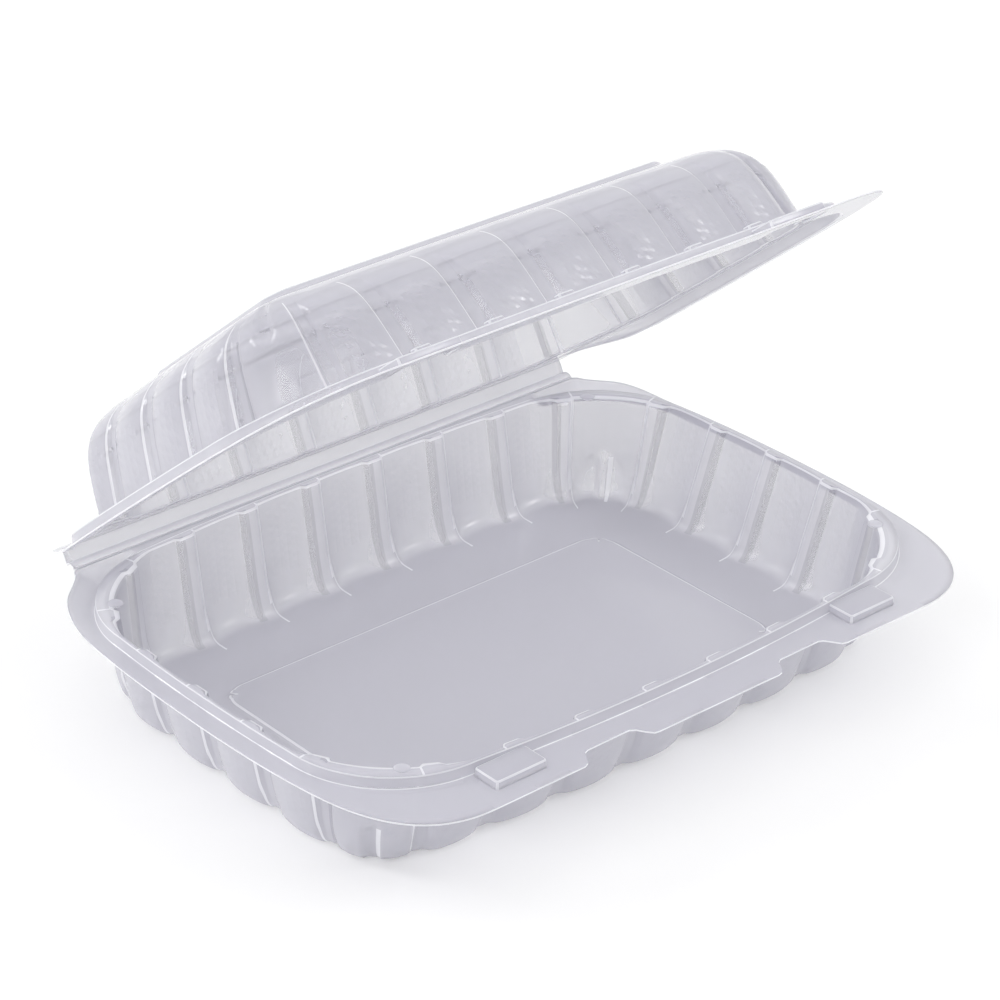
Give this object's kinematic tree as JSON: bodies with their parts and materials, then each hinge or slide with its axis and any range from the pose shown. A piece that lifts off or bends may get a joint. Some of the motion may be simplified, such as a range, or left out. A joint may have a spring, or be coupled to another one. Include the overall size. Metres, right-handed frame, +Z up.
{
  "type": "takeaway meal container",
  "caption": "Shallow rectangular clear plastic takeaway container with ribbed walls and a ribbed domed lid hinged along the back edge, standing partly open and empty.",
  "frame": {"origin": "bottom centre of the whole container's bounding box as it stands, lid partly open", "axes": "+X along the hinge, +Y from the opening side towards the hinge, +Z up"},
  "size_m": [0.2408, 0.1836, 0.1551],
  "materials": {
    "clear_plastic": "milky translucent polypropylene film, smooth and glossy, with a fine pebbled grain on the wall panels"
  },
  "bodies": {
    "tray": {"tray": "clear_plastic", "hinge_strip": "clear_plastic"},
    "lid": {"lid": "clear_plastic"}
  },
  "joints": [
    {"name": "lid_hinge", "type": "hinge", "parent": "tray", "child": "lid", "pos_m": [0, 0.09307, 0.0345], "axis": [-1, 0, 0], "range_deg": [-39.1, 111]}
  ]
}
